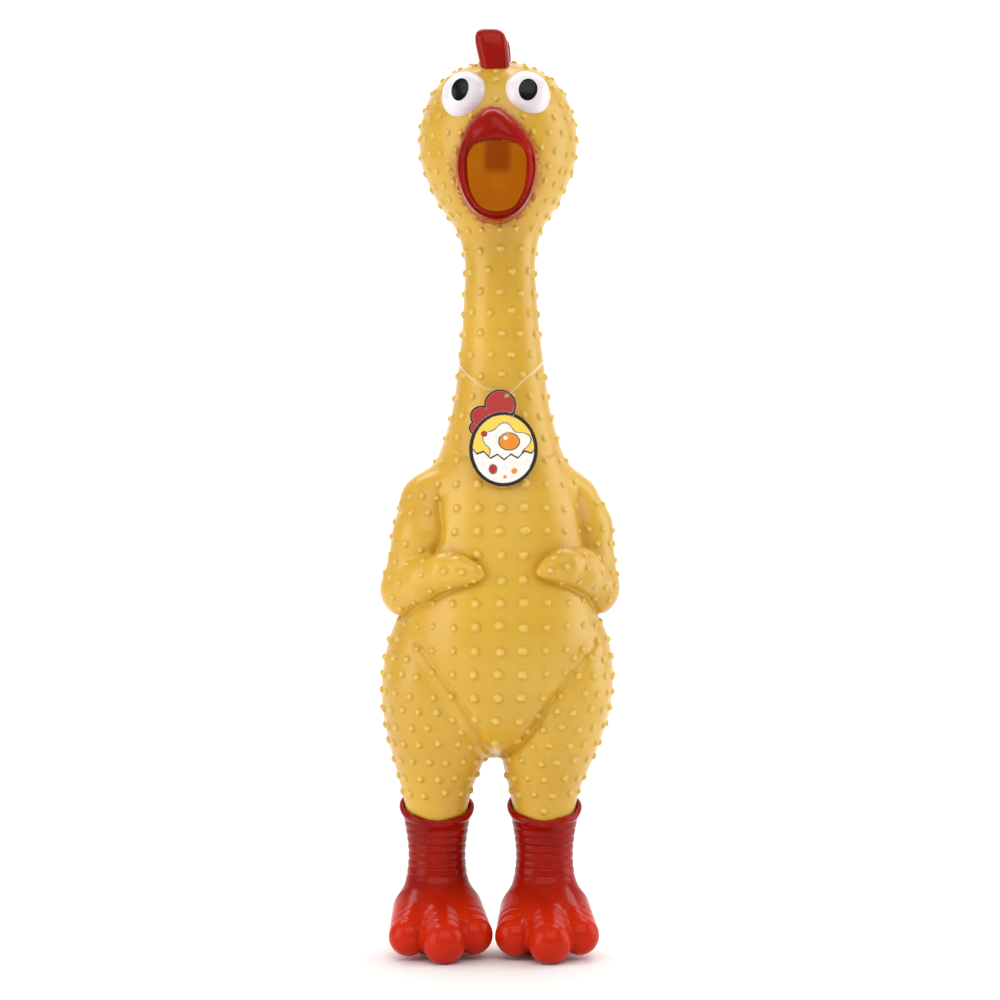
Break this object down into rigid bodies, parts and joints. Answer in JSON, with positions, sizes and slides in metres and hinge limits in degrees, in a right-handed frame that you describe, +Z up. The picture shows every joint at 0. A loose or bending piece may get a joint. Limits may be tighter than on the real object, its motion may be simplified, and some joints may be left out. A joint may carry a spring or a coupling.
{
  "type": "rubber chicken squeeze toy",
  "caption": "Hollow nubbed rubber chicken that stands on red boots, with a wide open beak, a bending neck, a squeezable belly and a hang tag on a loop.",
  "frame": {"origin": "on the ground, under the middle of the whole standing chicken", "axes": "+Z up from the boots to the comb; the chicken faces -Y; its own left is at +X"},
  "size_m": [0.1008, 0.0944, 0.4],
  "materials": {
    "yellow_skin": "satin moulded vinyl with raised nubs",
    "red_skin": "glossy sprayed paint on moulded vinyl",
    "eye_white": "glossy white paint",
    "eye_black": "glossy black paint",
    "squeaker_body": "natural moulded",
    "squeaker_core": "smooth moulded",
    "reed_strip": "thin clear strip",
    "printed_card": "coated printed card",
    "clear_filament": "clear drawn filament"
  },
  "bodies": {
    "torso": {"torso_skin": "yellow_skin", "tag_loop": "clear_filament", "loop_lock": "clear_filament"},
    "belly": {"belly_patch": "yellow_skin"},
    "neck": {"neck_sleeve": "yellow_skin", "lower_neck_flex": "yellow_skin", "squeaker_barrel": "squeaker_body", "squeaker_cap": "squeaker_body", "squeaker_reed_block": "squeaker_core", "squeaker_reed_wedge": "squeaker_core"},
    "reed": {"squeaker_reed": "reed_strip"},
    "head": {"head_skin": "yellow_skin", "upper_neck_flex": "yellow_skin", "beak": "red_skin", "comb": "red_skin", "right_eye": "eye_white", "left_eye": "eye_white", "right_pupil": "eye_black", "left_pupil": "eye_black"},
    "right_foot": {"right_boot": "red_skin", "right_ankle_skin": "yellow_skin"},
    "left_foot": {"left_boot": "red_skin", "left_ankle_skin": "yellow_skin"},
    "tag": {"tag_card": "printed_card"}
  },
  "joints": [
    {"name": "neck_bend", "type": "hinge", "parent": "torso", "child": "neck", "pos_m": [0, 0, 0.2745], "axis": [1, 0, 0], "range_deg": [-30, 30], "stiffness_Nm_per_rad": 0.6, "deforming": ["lower_neck_flex"]},
    {"name": "head_tilt", "type": "hinge", "parent": "neck", "child": "head", "pos_m": [0, 0, 0.307], "axis": [0, 1, 0], "range_deg": [-30, 30], "stiffness_Nm_per_rad": 0.5, "deforming": ["upper_neck_flex"]},
    {"name": "belly_press", "type": "slide", "parent": "torso", "child": "belly", "axis": [0, 0.9397, 0.342], "range_m": [0, 0.01], "stiffness_N_per_m": 400},
    {"name": "right_ankle", "type": "hinge", "parent": "torso", "child": "right_foot", "pos_m": [-0.027, 0, 0.076], "axis": [1, 0, 0], "range_deg": [-25, 25], "stiffness_Nm_per_rad": 3, "deforming": ["right_ankle_skin"]},
    {"name": "left_ankle", "type": "hinge", "parent": "torso", "child": "left_foot", "pos_m": [0.0198, 0, 0.076], "axis": [1, 0, 0], "range_deg": [-25, 25], "stiffness_Nm_per_rad": 3, "deforming": ["left_ankle_skin"]},
    {"name": "tag_swing", "type": "hinge", "parent": "torso", "child": "tag", "pos_m": [0.0032, -0.024, 0.2396], "axis": [0, -0.9636, 0.2672], "range_deg": [-40, 40]},
    {"name": "reed_flex", "type": "hinge", "parent": "neck", "child": "reed", "pos_m": [0, -0.00055, 0.2866], "axis": [1, 0, 0], "range_deg": [-2, 8], "stiffness_Nm_per_rad": 0.0002}
  ]
}
